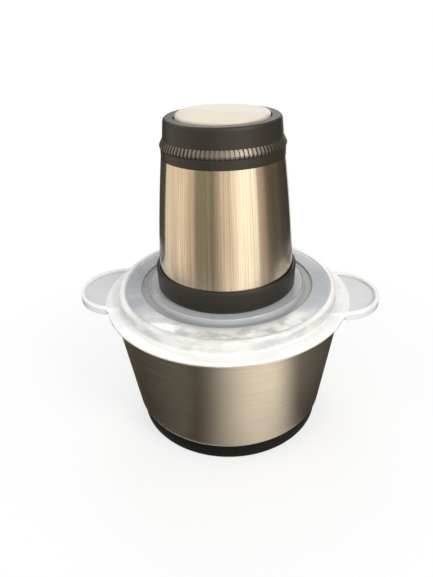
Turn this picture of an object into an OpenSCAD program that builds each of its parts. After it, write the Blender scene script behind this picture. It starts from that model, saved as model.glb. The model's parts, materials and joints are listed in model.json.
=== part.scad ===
// Electric food chopper: a steel bowl on a rubber foot, a lid with two ears,
// and a motor head with a planetary gearbox that turns a two-tier blade.
// Millimetres, +Z up, the origin under the bowl's centre on the table.

/* [Bowl] */
// Height of the bowl's rim above the table
bowl_height = 115.7; // [100:0.1:130]
// Outer radius of the bowl's wall at its rim
bowl_top_r = 99.4; // [96:0.1:106]
// Outer radius of the bowl's wall just above the foot
bowl_base_r = 86.8; // [82:0.1:91]
// Thickness of the bowl's steel sheet
bowl_sheet = 0.9; // [0.7:0.1:1.4]
// Radius of the rolled bead round the rim
rim_bead = 2; // [1.4:0.1:2.6]
// Radius of the corner between the bowl's floor and its wall
bowl_corner = 5.5; // [4:0.5:8]
// Radius of the fixed steel pin that the blade turns on
pin_r = 5; // [4:0.1:5.4]

/* [Foot] */
// Height of the rubber foot
foot_height = 15.5; // [12.5:0.5:18]
// How much the foot narrows towards the table
foot_taper = 1.6; // [0.5:0.1:4]
// Thickness of the rubber wall round the bowl's base
foot_wall = 1.4; // [1:0.1:2]
// How far the foot's top edge stays inside the bowl's wall
foot_tuck = 1.8; // [1:0.1:3]
// Width of the ring that stands on the table
foot_width = 22; // [14:1:30]

/* [Lid] */
// How far the lid's lip stands out past the rim bead
lip_overhang = 2.5; // [1.6:0.1:4]
// Thickness of the lid's moulding
lid_wall = 2.3; // [1.8:0.1:2.8]
// Width of the flat flange outside the raised wall
flange_width = 10.2; // [8.5:0.1:12]
// Height of the lid's platform above its lower face
lid_rise = 15.7; // [14:0.1:22]
// How far the platform stands out past the motor base
platform_margin = 8; // [5:0.5:10]
// Radial gap between the lid and the bowl that the seal fills
seal_width = 3.6; // [3:0.1:4.4]
// How far an ear reaches past the lip
ear_reach = 26.5; // [20:0.5:30]
// Radius of an ear's outer corners
ear_round = 35.5; // [30:0.5:38]
// Half the distance between an ear's two corner centres
ear_half = 1; // [0.5:0.5:6]
// Width of the raised lip round an ear
ear_lip = 3; // [2:0.5:4]
// Height of an ear's skirt
ear_depth = 7; // [5:0.5:9]

/* [Motor housing] */
// Radius of the black motor base
base_r = 59; // [57:0.5:64]
// Height of the black motor base
base_height = 18.5; // [17:0.5:24]
// How far the sleeve's foot stays inside the motor base
sleeve_step = 2.4; // [1.8:0.1:4]
// Radius of the steel sleeve at its top
sleeve_top_r = 48; // [46:0.1:52]
// How far the sleeve's side bows out from a straight cone
sleeve_bulge = 0.8; // [0:0.1:2]
// Height of the steel that shows
sleeve_height = 91.3; // [88:0.1:110]
// Thickness of the sleeve's sheet
sleeve_sheet = 1; // [0.6:0.1:1.5]
// Height of the smooth black band above the sleeve
band_height = 6.9; // [4:0.1:10]
// Height of the ribbed grip ring
grip_height = 6.6; // [5:0.1:9]
// Number of ribs round the grip ring
grip_ribs = 90; // [60:6:108]
// Depth of the grooves between the ribs
grip_depth = 1.2; // [0.6:0.1:1.4]
// Height of the plain cap above the grip ring
crown_height = 14.7; // [14:0.1:20]
// How much the cap narrows towards its top
crown_taper = 1.6; // [0.5:0.1:3]

/* [Button] */
// Radius of the rocker button
button_r = 36; // [30:0.5:37]
// Height of the button's ridge above the cap's top face
button_rise = 2.8; // [2:0.1:4]
// Drop from the ridge to the button's edge
button_fall = 1.1; // [0:0.1:1.6]
// Clear gap round the button
button_gap = 0.9; // [0.7:0.1:1.4]
// Direction of the ridge seen from above, in degrees
ridge_angle = -25; // [-90:0.5:90]
// Distance of each plunger from the rocker's axis
plunger_arm = 18; // [14:1:24]

/* [Blades] */
// Radius swept by the lower blade
lower_reach = 80; // [60:1:82]
// Radius swept by the upper blade
upper_reach = 72; // [55:1:84]
// Thickness of the blade sheet
blade_sheet = 1.6; // [1:0.1:2.4]
// Width of a blade arm at its root
blade_root = 20; // [14:1:24]
// Width of a blade arm near its tip
blade_tip = 9; // [6:0.5:14]
// Distance between the two blades
blade_spacing = 34.4; // [26:0.1:40]
// How far a blade arm curves back, in degrees
blade_sweep = 42; // [10:1:60]
// How far the lower blade's tips rise
lower_lift = 6; // [0:1:10]
// How far the upper blade's tips rise
upper_lift = 12; // [-4:1:16]
// Radius of the hub above the blades
hub_r = 13; // [11:0.1:15]

/* [Gearbox] */
// Size of the teeth, as pitch diameter over tooth count
tooth_module = 1.25; // [1.1:0.05:1.25]
// Teeth on the sun pinion
sun_teeth = 12; // [9, 12]
// Teeth on each planet gear
planet_teeth = 18; // [15, 18]
// Play between meshing teeth, measured along the pitch circle
backlash = 0.16; // [0.12:0.01:0.3]
// Width of the gear teeth
gear_width = 9; // [7:0.5:10]
// Radius of the output shaft
output_r = 7; // [6:0.1:7.5]
// Radius of each planet's steel pin
planet_pin_r = 3; // [2.4:0.1:3.2]

/* [Motor] */
// Height of the stack of laminations
stack_height = 30; // [22:1:30]
// Outer radius of the armature
armature_r = 18.9; // [16:0.1:19]
// Radius of the motor shaft
shaft_r = 4; // [3:0.1:4.2]
// Radius of the cooling fan
fan_r = 26; // [20:0.5:28]
// Radius of the bore in the cord gland
cord_bore_r = 3.6; // [3:0.1:4.5]

/* [Fits] */
// Gap between faces of pieces that move apart
face_gap = 0.3; // [0.3:0.05:0.5]
// Radial clearance of a turning or sliding fit
run_gap = 0.06; // [0.03:0.01:0.09]
// Radial clearance of a fixed fit
seat_gap = 0.05; // [0.02:0.01:0.1]

/* [Hidden] */
$fn = 96;
slop = 0.5;

// Bowl levels and radii
floor_z = foot_height - bowl_corner;
floor_top = floor_z + bowl_sheet;
foot_top_r = bowl_base_r - foot_tuck;
foot_base_r = foot_top_r - foot_taper;
tuck_r = foot_top_r - foot_wall - seat_gap;
shoulder_z = foot_height + 3.5;
bead_z = bowl_height - rim_bead;
bead_r = bowl_top_r - bowl_sheet + rim_bead;
function bowl_r(z) = bowl_base_r
    + (bowl_top_r - bowl_base_r) * (z - shoulder_z) / (bead_z - shoulder_z);

// Lid levels and radii
flange_z = bowl_height + face_gap;
lip_r = bead_r + rim_bead + lip_overhang;
lip_height = 3.4;
wall_r = lip_r - flange_width;
crest_round = 2.3;
crest_r = wall_r - 1.1 - crest_round;
crest_z = flange_z + lid_rise - 0.8 - crest_round;
deck_r = wall_r - 6;
deck_z = flange_z + lid_rise - 2.8;
platform_r = base_r + platform_margin;
platform_z = flange_z + lid_rise;
groove_in_r = platform_r + 1.4;
groove_out_r = platform_r + 7.5;
groove_z = platform_z - 3.7;
skirt_z = flange_z - 6.5;
skirt_r = bowl_r(flange_z - 4) - bowl_sheet - seal_width;
seal_low_z = flange_z - 5.2;
seal_high_z = flange_z - 1.2;
seal_seat = 1.2;
ear_top_z = flange_z + 5;
ear_deck_z = ear_top_z - 2.4;
ear_corner_x = lip_r + ear_reach - ear_round;

// Motor base levels
base_z = platform_z + face_gap;
base_floor_z = base_z + 2.5;
base_floor = 2.5;
base_top_z = base_z + base_height;
cup_wall = 3.5;
cup_in_r = base_r - cup_wall;
cup_flare = 0.5;
ring_wall = 2.5;
ring_out_r = cup_in_r - 1.9;
ring_in_r = ring_out_r - ring_wall;
foot_in_r = ring_out_r + 0.7;
vent_width = 3;
vent_length = 5;
vent_r = cup_in_r - 9;

// Gear radii
pressure = 25;
ring_teeth = sun_teeth + 2 * planet_teeth;
addendum = 0.8 * tooth_module;
dedendum = tooth_module;
sun_pitch_r = sun_teeth * tooth_module / 2;
planet_pitch_r = planet_teeth * tooth_module / 2;
ring_pitch_r = ring_teeth * tooth_module / 2;
orbit_r = sun_pitch_r + planet_pitch_r;
planet_count = 3;

// Gearbox levels, from the base's floor upwards
neck_r = 20;
neck_z = base_z - 5.5;
neck_bore_r = neck_r + 2.2;
cover_z = base_floor_z + base_floor;
cover_plate = 2.5;
housing_z = cover_z + cover_plate;
housing_r = ring_pitch_r + dedendum + 3.75;
carrier_z = housing_z + 0.5;
carrier_plate = 4;
carrier_r = orbit_r + planet_pin_r + 3;
gear_z = carrier_z + carrier_plate + 0.4;
roof_z = gear_z + gear_width + 0.6;
roof = 3;
bracket_z = roof_z + roof;
lug_r = 5;
lug_orbit = 41;
gear_screw_r = 2;
bearing_out_r = 16;
seal_out_r = 13;
seal_height = 3.5;
out_bearing_h = 7;
out_bearing_z = neck_z + seal_height + 1.5;

// Motor levels, from the lower bracket upwards
bracket_plate = 3.5;
low_bearing_r = 11;
low_bearing_h = 7;
low_bearing_z = bracket_z + 1.5;
low_boss_z = low_bearing_z + low_bearing_h + 0.5;
fan_z = low_boss_z + 1.5;
fan_height = 7.5;
coil_over = 5;
stack_z = fan_z + fan_height + coil_over + 1;
stack_top_z = stack_z + stack_height;
winding_r = armature_r - 3.9;
commutator_z = stack_top_z + coil_over + 2;
commutator_h = 12;
commutator_r = 11;
upper_plate_z = commutator_z + commutator_h + 2;
upper_plate = 3;
up_bearing_r = 9.5;
up_bearing_h = 6;
up_bearing_z = upper_plate_z + 1.5;
up_boss_r = 12;
up_boss_z = up_bearing_z + up_bearing_h + 1;
core_half_x = 32;
core_half_y = 30;
core_round = 10;
core_bore_r = armature_r + 0.7;
slot_r = core_bore_r + 8.9;
pole_width = 20;
post_x = 25;
post_y = 23;
post_r = 4.5;
motor_screw_r = 1.6;

// Housing above the motor base
sleeve_z = base_top_z;
sleeve_base_r = base_r - sleeve_step;
sleeve_tuck = 3;
sleeve_top_z = sleeve_z + sleeve_height;
function sleeve_r(z) = let (s = (z - sleeve_z) / sleeve_height)
    sleeve_base_r + (sleeve_top_r - sleeve_base_r) * s + 4 * sleeve_bulge * s * (1 - s);
band_r = sleeve_top_r - 0.1;
grip_z = sleeve_top_z + band_height;
grip_top_z = grip_z + grip_height;
grip_r = sleeve_top_r + 0.6;
grip_in_r = band_r - 2.8;
crown_r = sleeve_top_r - 2;
crown_top_r = crown_r - crown_taper;
cap_z = grip_top_z + crown_height;
cap_wall = 2;
cap_in_r = crown_r - 2.6;
spigot_r = sleeve_top_r - sleeve_sheet - seat_gap;
spigot_wall = 1.7;
spigot_z = sleeve_top_z - 3.5;

// Button and switches
recess_r = button_r + button_gap;
recess_z = cap_z - 8;
rocker_z = recess_z + 3.5;
rocker_pin_r = 2;
rocker_tilt = 3.5;
button_z = cap_z - 5;
button_wall = 2.2;
edge_round = 1.5;
lug_thick = 5;
lug_boss_r = rocker_pin_r + 1.1;
pad_r = 4;
button_roof_z = cap_z - 0.2;
pad_z = button_roof_z - 1.2;
lug_reach = button_r * 0.58;
post_reach = button_r * 0.78;
pin_half = post_reach + 3;
plunger_r = 2.5;
plunger_top_z = pad_z - face_gap;
plunger_low_z = recess_z - 3.2;
collar_z = recess_z + 3.8;
collar_r = 4.2;
spring_r = 3.6;
wire_r = 0.4;
frame_z = recess_z - 16;
frame_plate = 2.5;
frame_r = cap_in_r - 0.4;
wire_slot_x = 26;
wire_slot_width = 8;
wire_slot_length = 16;
switch_z = frame_z + frame_plate;
switch_travel = plunger_arm * sin(rocker_tilt);
switch_top_z = plunger_low_z - switch_travel - 0.3;
mount_out_r = up_boss_r + 4;
rod_r = 1.8;
rod_orbit = 40;
gland_angle = 115;
gland_z = sleeve_z + 10;
gland_r = 6.5;
gland_rim = 2.4;
gland_span = gland_r + gland_rim + 1;

// Blade stack, from the pin's flange upwards
pin_flange = 3;
pin_flange_r = pin_r + 9;
pin_boss_r = pin_r + 4;
rivet_r = pin_r - 2;
rivet_head_r = pin_r + 1;
rivet_head = 2.2;
nut_z = floor_top + pin_flange + face_gap;
nut_height = 7.2;
lower_z = nut_z + nut_height;
upper_z = lower_z + blade_sheet + blade_spacing;
hub_shoulder = upper_z + blade_sheet;
hub_core_r = 9;
blade_disc_r = 15;
blade_bevel = 4;
blade_edge = 0.2;
lower_turn = 20;
upper_turn = lower_turn + 90;
hub_top_z = neck_z - 1.5;
pin_top_z = hub_shoulder - 8;
bush_wall = 1.4;
bush_r = pin_r + run_gap + bush_wall;
hex_r = 8.5;
hex_depth = 13.5;
coupling_z = hub_top_z - hex_depth + 1.5;

// Points along an arc in a plane
function arc(x, y, r, from, to, steps) =
    [for (i = [0 : steps]) let (a = from + (to - from) * i / steps) [x + r * cos(a), y + r * sin(a)]];

// Half the angle of a tooth at radius r, given that half angle at the pitch circle
function involute(a) = tan(a) * 180 / PI - a;
function half_tooth(r, teeth, half) =
    let (base = teeth * tooth_module / 2 * cos(pressure))
    half + involute(pressure) - involute(acos(min(1, base / max(r, base))));

// Outline of a gear with straight sides below the base circle
function gear_outline(teeth, root, tip, half) =
    let (base = teeth * tooth_module / 2 * cos(pressure))
    let (start = max(root, base))
    let (side = [for (i = [0 : 2]) start + (tip - start) * i / 2])
    let (radii = root < base ? concat([root], side) : side)
    let (last = len(radii) - 1)
    [for (k = [0 : teeth - 1])
        for (j = [0 : 2 * last + 1])
            let (r = j <= last ? radii[j] : radii[2 * last + 1 - j])
            let (turn = half_tooth(r, teeth, half) * (j <= last ? -1 : 1))
            let (a = 360 * k / teeth + turn)
            [r * cos(a), r * sin(a)]];
function tooth_half(teeth, play) = 90 / teeth + play / 2 / (teeth * tooth_module / 2) * 180 / PI;

// Solid bar and tube standing on z0
module rod(r, z0, z1) {
    translate([0, 0, z0])
        cylinder(r = r, h = z1 - z0);
}

module tube(r_out, r_in, z0, z1) {
    difference() {
        rod(r_out, z0, z1);
        rod(r_in, z0 - slop, z1 + slop);
    }
}

// Skin over a list of closed rings that all have the same number of points
module skin(rings) {
    sides = len(rings[0]);
    count = len(rings);
    points = [for (ring = rings) each ring];
    walls = [for (i = [0 : count - 2])
        for (j = [0 : sides - 1])
            let (a = i * sides + j, b = i * sides + (j + 1) % sides)
            each [[a, b, b + sides], [a, b + sides, a + sides]]];
    caps = [
        [for (j = [0 : sides - 1]) sides - 1 - j],
        [for (j = [0 : sides - 1]) (count - 1) * sides + j]
    ];
    polyhedron(points = points, faces = concat(walls, caps));
}

// Copies at the four corners of the motor
module at_posts() {
    for (sx = [-1, 1])
        for (sy = [-1, 1])
            translate([sx * post_x, sy * post_y, 0])
                children();
}

// Copies at the four lugs of the gearbox
module at_lugs() {
    for (a = [45 : 90 : 315])
        rotate(a)
            translate([lug_orbit, 0, 0])
                children();
}

// Copies at the three tie rods
module at_rods() {
    for (a = [90 : 120 : 330])
        rotate(a)
            translate([rod_orbit, 0, 0])
                children();
}

// Pressed steel bowl
module bowl() {
    outer = concat(
        [[0, floor_z]],
        arc(tuck_r - bowl_corner, foot_height, bowl_corner, -90, 0, 6),
        [
            [tuck_r + (bowl_base_r - tuck_r) * 0.45, foot_height + 0.4],
            [bowl_base_r - 0.9, foot_height + 1.5],
            [bowl_base_r, shoulder_z],
            [bowl_top_r, bead_z]
        ]
    );
    inner = concat(
        [
            [bowl_top_r - bowl_sheet, bead_z],
            [bowl_base_r - bowl_sheet, shoulder_z + 0.2],
            [bowl_base_r - 1.6 - bowl_sheet, foot_height + 1.7],
            [tuck_r - bowl_sheet, foot_height + 0.6]
        ],
        arc(tuck_r - bowl_corner, foot_height, bowl_corner - bowl_sheet, 0, -90, 6),
        [[0, floor_top]]
    );
    color("silver")
        difference() {
            union() {
                rotate_extrude()
                    polygon(concat(outer, inner));
                rotate_extrude()
                    translate([bead_r, bead_z])
                        circle(r = rim_bead, $fn = 32);
            }
            rod(rivet_r + seat_gap, floor_z - slop, floor_top + slop);
        }
}

// Steel pin riveted through the bowl's floor
module bowl_pin() {
    color("gainsboro") {
        rotate_extrude()
            polygon([
                [0, floor_z - rivet_head], [pin_r, floor_z - rivet_head],
                [rivet_head_r, floor_z - seat_gap],
                [rivet_r, floor_z - seat_gap], [rivet_r, floor_top],
                [pin_flange_r, floor_top], [pin_flange_r, floor_top + 1.4],
                [pin_boss_r, floor_top + pin_flange],
                [pin_r, floor_top + pin_flange], [pin_r, pin_top_z - 2],
                [pin_r - 2, pin_top_z - face_gap], [0, pin_top_z - face_gap]
            ]);
    }
}

// Rubber boot that the bowl stands in
module foot_ring() {
    seat_r = tuck_r - bowl_corner;
    color("black")
        rotate_extrude()
            polygon(concat(
                [
                    [foot_base_r - foot_width, 0], [foot_base_r - 1.5, 0], [foot_base_r, 1.5],
                    [foot_top_r, foot_height - 0.8], [foot_top_r - 0.4, foot_height]
                ],
                arc(seat_r, foot_height, bowl_corner + seat_gap, 0, -90, 6),
                [[foot_base_r - foot_width, floor_z - seat_gap]]
            ));
}

// Outline of an ear, drawn in by inset
module ear_outline(inset) {
    inner_x = wall_r - ear_round / 2;
    corner = ear_round - inset;
    translate([inner_x, -ear_half - corner])
        square([ear_corner_x - inner_x, 2 * (ear_half + corner)]);
    translate([inner_x, -ear_half])
        square([ear_corner_x + corner - inner_x, 2 * ear_half]);
    for (side = [-1, 1])
        translate([ear_corner_x, side * ear_half])
            circle(r = corner);
}

// Rounded inner corners where an ear's sides meet the lip
module ear_roots() {
    fillet = 5;
    corner = [ear_corner_x, ear_half];
    span = norm(corner);
    along = (pow(lip_r + fillet, 2) - pow(ear_round + fillet, 2) + span * span) / (2 * span);
    across = sqrt(pow(lip_r + fillet, 2) - along * along);
    centre = corner * along / span + [-corner[1], corner[0]] * across / span;
    on_lip = centre * lip_r / (lip_r + fillet);
    on_ear = corner + (centre - corner) * ear_round / (ear_round + fillet);
    for (side = [0, 1])
        mirror([0, side])
            difference() {
                polygon([
                    on_lip * 0.97, on_lip + (on_ear - on_lip) * 0.5 - [2 * fillet, fillet],
                    corner + (on_ear - corner) * 0.9, on_ear, centre, on_lip
                ]);
                translate(centre)
                    circle(r = fillet);
            }
}

// One hollow ear with a raised lip and a skirt
module ear() {
    difference() {
        union() {
            translate([0, 0, ear_top_z - ear_depth])
                linear_extrude(ear_depth)
                    ear_outline(0);
            translate([0, 0, flange_z])
                linear_extrude(lip_height)
                    ear_roots();
        }
        difference() {
            translate([0, 0, ear_deck_z])
                linear_extrude(ear_depth)
                    ear_outline(ear_lip);
            rod(lip_r - 4, ear_deck_z - slop, ear_top_z + slop);
        }
        translate([0, 0, ear_top_z - ear_depth - slop])
            linear_extrude(ear_deck_z - lid_wall - ear_top_z + ear_depth + slop)
                ear_outline(ear_lip - 0.5);
        rod(wall_r - 1, flange_z - slop, ear_top_z + slop);
        translate([0, 0, ear_top_z - ear_depth - slop])
            cylinder(
                r1 = lip_r + ear_depth * 0.6,
                r2 = lip_r - 1.4,
                h = flange_z - ear_top_z + ear_depth + slop
            );
    }
}

// Frosted lid: flange, raised rim, deck, groove and the platform for the motor
module lid() {
    outer = concat(
        [
            [lip_r - 0.8, flange_z], [lip_r, flange_z + 0.8], [lip_r, flange_z + 2.6],
            [lip_r - 0.4, flange_z + 3.1], [lip_r - 1.1, flange_z + lip_height],
            [wall_r + 0.9, flange_z + 4.2], [wall_r + 0.2, flange_z + 4.6],
            [wall_r, flange_z + 5.4]
        ],
        arc(crest_r, crest_z, crest_round, 10, 150, 6),
        [
            [deck_r - 0.2, deck_z],
            [groove_out_r, deck_z + 0.9], [groove_out_r - 0.6, groove_z],
            [groove_in_r, groove_z], [platform_r + 0.3, platform_z],
            [platform_r - 0.3, platform_z + 0.6], [platform_r - 1.2, platform_z],
            [neck_bore_r, platform_z]
        ]
    );
    under = [
        [neck_bore_r, platform_z - 18], [neck_bore_r + lid_wall, platform_z - 18],
        [neck_bore_r + lid_wall, platform_z - lid_wall],
        [platform_r - 1.6, platform_z - lid_wall], [groove_in_r - 1.5, groove_z - lid_wall],
        [groove_out_r + 1, groove_z - lid_wall], [groove_out_r + 1.8, deck_z + 0.8 - lid_wall],
        [deck_r - 0.8, deck_z - lid_wall], [wall_r - 1.2 - lid_wall, deck_z - lid_wall],
        [wall_r - lid_wall, flange_z + 1], [skirt_r - 2.8, flange_z - 1],
        [skirt_r - 2.8, skirt_z], [skirt_r, skirt_z],
        [skirt_r, seal_low_z], [skirt_r - seal_seat, seal_low_z],
        [skirt_r - seal_seat, seal_high_z], [skirt_r, seal_high_z], [skirt_r, flange_z]
    ];
    color("lightsteelblue")
        union() {
            rotate_extrude()
                polygon(concat(outer, under));
            tube(ring_out_r, ring_in_r, platform_z - 1, platform_z + 2.4);
            for (side = [0, 180])
                rotate(side)
                    ear();
        }
}

// Silicone seal with two fins, in the groove of the lid's skirt
module lid_seal() {
    in_r = skirt_r - seal_seat + seat_gap;
    fin_r = bowl_r(seal_low_z) - bowl_sheet - face_gap;
    low = seal_low_z + seat_gap;
    high = seal_high_z - seat_gap;
    color("whitesmoke")
        rotate_extrude()
            polygon([
                [in_r, low], [skirt_r + 1, low], [fin_r, low + 0.9], [fin_r, low + 1.3],
                [skirt_r + 1.4, low + 1], [skirt_r + 1.4, low + 2.4],
                [fin_r, high - 0.6], [fin_r, high - 0.2], [skirt_r + 1, high], [in_r, high]
            ]);
}

// Moulded hub: core for the blades below, hexagonal socket for the drive above
module blade_hub() {
    color("ivory")
        difference() {
            union() {
                rod(hub_core_r, nut_z + 0.6, hub_shoulder + slop);
                rotate_extrude()
                    polygon([
                        [0, hub_shoulder], [hub_r + 2, hub_shoulder],
                        [hub_r + 2, hub_shoulder + 3], [hub_r - 2.4, hub_shoulder + 12],
                        [hub_r - 2.4, hub_top_z - hex_depth - 12], [hub_r, hub_top_z - hex_depth - 2],
                        [hub_r, hub_top_z - 1], [hub_r - 1, hub_top_z], [0, hub_top_z]
                    ]);
            }
            rod(bush_r + seat_gap, nut_z, pin_top_z);
            translate([0, 0, hub_top_z - hex_depth])
                cylinder(r = hex_r + face_gap * 1.2, h = hex_depth + slop, $fn = 6);
        }
}

// Plastic bush that runs on the bowl's pin
module hub_bush() {
    color("white")
        tube(bush_r, pin_r + run_gap, nut_z + 0.6, pin_top_z - 0.4);
}

// Rings of a curved blade arm: a flat section with a bevelled front edge
function arm_ring(t, reach, lift) =
    let (r = blade_disc_r - 4 + (reach - blade_disc_r + 4) * t)
    let (a = -blade_sweep * pow(t, 1.4))
    let (lean = a - 1.4 * blade_sweep * pow(t, 0.4) * r / (reach - blade_disc_r + 4) * 0.6)
    let (width = blade_root + (blade_tip - blade_root) * pow(t, 0.8))
    let (half = t > 0.95 ? width * 0.25 : width / 2)
    let (rise = lift * pow(max(0, t - 0.15) / 0.85, 2))
    let (bevel = min(blade_bevel, half))
    let (across = [-sin(lean), cos(lean)])
    let (mid = [r * cos(a), r * sin(a)])
    let (front = [[half - bevel, blade_sheet], [half, blade_edge], [half, 0]])
    [for (p = concat([[-half, blade_sheet]], front, [[-half, 0]]))
        [mid[0] + across[0] * p[0], mid[1] + across[1] * p[0], rise + p[1]]];

// Two-armed blade with its lower face at z
module blade(z, reach, lift, turn) {
    steps = 14;
    translate([0, 0, z])
        rotate(turn)
            difference() {
                union() {
                    cylinder(r = blade_disc_r, h = blade_sheet);
                    for (side = [0, 180])
                        rotate(side)
                            skin([for (i = [0 : steps]) arm_ring(i / steps, reach, lift)]);
                }
                translate([0, 0, -slop])
                    cylinder(r = hub_core_r + seat_gap, h = blade_sheet + 2 * slop);
            }
}

module lower_blade() {
    color("silver")
        blade(lower_z, lower_reach, lower_lift, lower_turn);
}

module upper_blade() {
    color("silver")
        blade(upper_z, upper_reach, upper_lift, upper_turn);
}

// Sleeve that holds the two blades apart
module blade_spacer() {
    color("ivory")
        tube(hub_core_r + 3, hub_core_r + seat_gap, lower_z + blade_sheet, upper_z);
}

// Nut under the lower blade
module blade_nut() {
    color("ivory")
        difference() {
            translate([0, 0, nut_z])
                cylinder(r1 = hub_core_r + 3, r2 = hub_core_r + 5.5, h = nut_height);
            rod(hub_core_r + seat_gap, nut_z - slop, lower_z + slop);
            for (a = [0 : 60 : 300])
                rotate(a)
                    translate([hub_core_r + 5.8, 0, nut_z - slop])
                        cylinder(r = 1.6, h = nut_height - 1, $fn = 24);
        }
}

// Black cup that stands on the lid and carries the gearbox
module base_cup() {
    color("dimgray")
        difference() {
            rotate_extrude()
                polygon([
                    [foot_in_r, base_z], [base_r - 1, base_z], [base_r, base_z + 1],
                    [base_r + cup_flare, base_top_z - 1.2], [base_r + 0.1, base_top_z - 0.4],
                    [base_r - 0.8, base_top_z],
                    [sleeve_base_r + 0.5, base_top_z], [sleeve_base_r + 0.5, base_top_z - sleeve_tuck - 0.2],
                    [cup_in_r, base_top_z - sleeve_tuck - 0.2], [cup_in_r, cover_z],
                    [neck_r + 0.3, cover_z], [neck_r + 0.3, base_floor_z],
                    [foot_in_r, base_floor_z]
                ]);
            at_lugs()
                rod(gear_screw_r + 0.2, base_floor_z - slop, cover_z + slop);
            at_rods()
                rod(rod_r + 0.2, base_floor_z - slop, cover_z + slop);
            for (a = [15 : 30 : 345])
                rotate(a)
                    translate([vent_r, -vent_width / 2, base_floor_z - slop])
                        cube([vent_length, vent_width, base_floor + 2 * slop]);
        }
}

// Rolled steel sleeve round the motor, with a hole for the cord gland
module steel_sleeve() {
    steps = 10;
    low_z = sleeve_z - sleeve_tuck;
    high_z = sleeve_top_z - 0.1;
    levels = [for (i = [0 : steps]) low_z + (high_z - low_z) * i / steps];
    color("tan")
        difference() {
            rotate_extrude()
                polygon(concat(
                    [for (z = levels) [sleeve_r(z), z]],
                    [for (i = [steps : -1 : 0]) [sleeve_r(levels[i]) - sleeve_sheet, levels[i]]]
                ));
            rotate(gland_angle)
                gland_disc(gland_r + seat_gap, sleeve_base_r - 12, sleeve_base_r + 8);
        }
}

// Profile of the grip ring, drawn in by the depth of a groove
module grip_profile(depth) {
    low_z = grip_z + seat_gap;
    high_z = grip_top_z - seat_gap;
    in_r = grip_in_r + seat_gap;
    polygon([
        [in_r, low_z], [band_r - 0.3 - depth * 0.6, low_z],
        [grip_r - depth, low_z + grip_height * 0.2],
        [grip_r - 0.2 - depth, low_z + grip_height * 0.36],
        [crown_r + 0.9 - depth * 0.9, high_z - grip_height * 0.2],
        [crown_r + 0.2 - depth * 0.5, high_z], [in_r, high_z]
    ]);
}

// Soft ring with upright ribs that the fingers grip
module grip_ring() {
    ribs = [for (i = [0 : grip_ribs - 1])
        for (p = [[0.14, grip_in_r], [0.3, grip_r + 0.5], [0.7, grip_r + 0.5], [0.86, grip_in_r]])
            let (a = 360 * (i + p[0]) / grip_ribs)
            [p[1] * cos(a), p[1] * sin(a)]];
    color("dimgray") {
        rotate_extrude()
            grip_profile(grip_depth);
        intersection() {
            rotate_extrude()
                grip_profile(0);
            translate([0, 0, grip_z])
                linear_extrude(grip_height)
                    polygon(ribs);
        }
    }
}

// Copies turned to the rocker's axis, with X along its ridge
module on_ridge() {
    rotate(ridge_angle)
        children();
}

// Black cap with the recess for the button, posts for its pin and guide holes
module top_cap() {
    color("dimgray")
        difference() {
            union() {
                rotate_extrude()
                    polygon([
                        [spigot_r - spigot_wall, spigot_z], [spigot_r, spigot_z],
                        [spigot_r, sleeve_top_z],
                        [band_r - 0.2, sleeve_top_z], [band_r, sleeve_top_z + 0.4],
                        [band_r, grip_z - 0.4], [band_r - 0.4, grip_z], [grip_in_r, grip_z],
                        [grip_in_r, grip_top_z], [crown_r, grip_top_z],
                        [crown_top_r + 0.3, cap_z - 2.2], [crown_top_r - 0.2, cap_z - 0.8],
                        [crown_top_r - 1.2, cap_z], [recess_r + 0.4, cap_z], [recess_r, cap_z - 0.4],
                        [recess_r, recess_z], [0, recess_z], [0, recess_z - cap_wall],
                        [recess_r + cap_wall, recess_z - cap_wall],
                        [recess_r + cap_wall, cap_z - cap_wall],
                        [max(crown_top_r - cap_wall, recess_r + cap_wall + 1), cap_z - cap_wall],
                        [cap_in_r, grip_top_z], [cap_in_r, grip_z - 2],
                        [spigot_r - spigot_wall, grip_z - 4]
                    ]);
                on_ridge()
                    for (side = [-1, 1])
                        translate([side * post_reach - 2, -3.5, recess_z - slop])
                            cube([4, 7, rocker_z - recess_z + 3 + slop]);
                at_rods()
                    rod(4, switch_z, recess_z - 1);
            }
            on_ridge() {
                translate([-button_r, 0, rocker_z])
                    rotate([0, 90, 0])
                        cylinder(r = rocker_pin_r + seat_gap, h = 2 * button_r);
                for (side = [-1, 1])
                    translate([0, side * plunger_arm, 0])
                        rod(plunger_r + run_gap, recess_z - cap_wall - slop, recess_z + slop);
            }
            at_rods()
                rod(rod_r + seat_gap, switch_z - slop, switch_z + 8);
        }
}

// Inner frame that carries the switches and holds the motor's top
module switch_frame() {
    color("gray")
        difference() {
            union() {
                rod(frame_r, frame_z, switch_z);
                rod(mount_out_r + 2.6, min(frame_z, upper_plate_z + upper_plate + 1.4), frame_z + slop);
            }
            rod(mount_out_r + seat_gap, upper_plate_z, frame_z - 0.5);
            at_rods()
                rod(rod_r + seat_gap, frame_z - slop, switch_z + slop);
            for (side = [-1, 1])
                on_ridge()
                    translate([
                        side * wire_slot_x - wire_slot_width / 2, -wire_slot_length / 2, frame_z - slop
                    ])
                        cube([wire_slot_width, wire_slot_length, frame_plate + 2 * slop]);
        }
}

// Small switch with its own push pin
module microswitch(side) {
    on_ridge()
        translate([0, side * plunger_arm, 0]) {
            translate([-10, -4, switch_z])
                cube([20, 8, switch_top_z - 1.8 - switch_z]);
            rod(1.5, switch_top_z - 2, switch_top_z);
            for (x = [-8, 6])
                translate([x, 3.5, switch_z + 1])
                    cube([2, 4, 0.8]);
        }
}

module switch_low() {
    color("midnightblue")
        microswitch(-1);
}

module switch_high() {
    color("midnightblue")
        microswitch(1);
}

// Steel pin that the rocker tilts on
module rocker_pin() {
    color("gainsboro")
        on_ridge()
            translate([-pin_half, 0, rocker_z])
                rotate([0, 90, 0])
                    cylinder(r = rocker_pin_r, h = 2 * pin_half);
}

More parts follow.
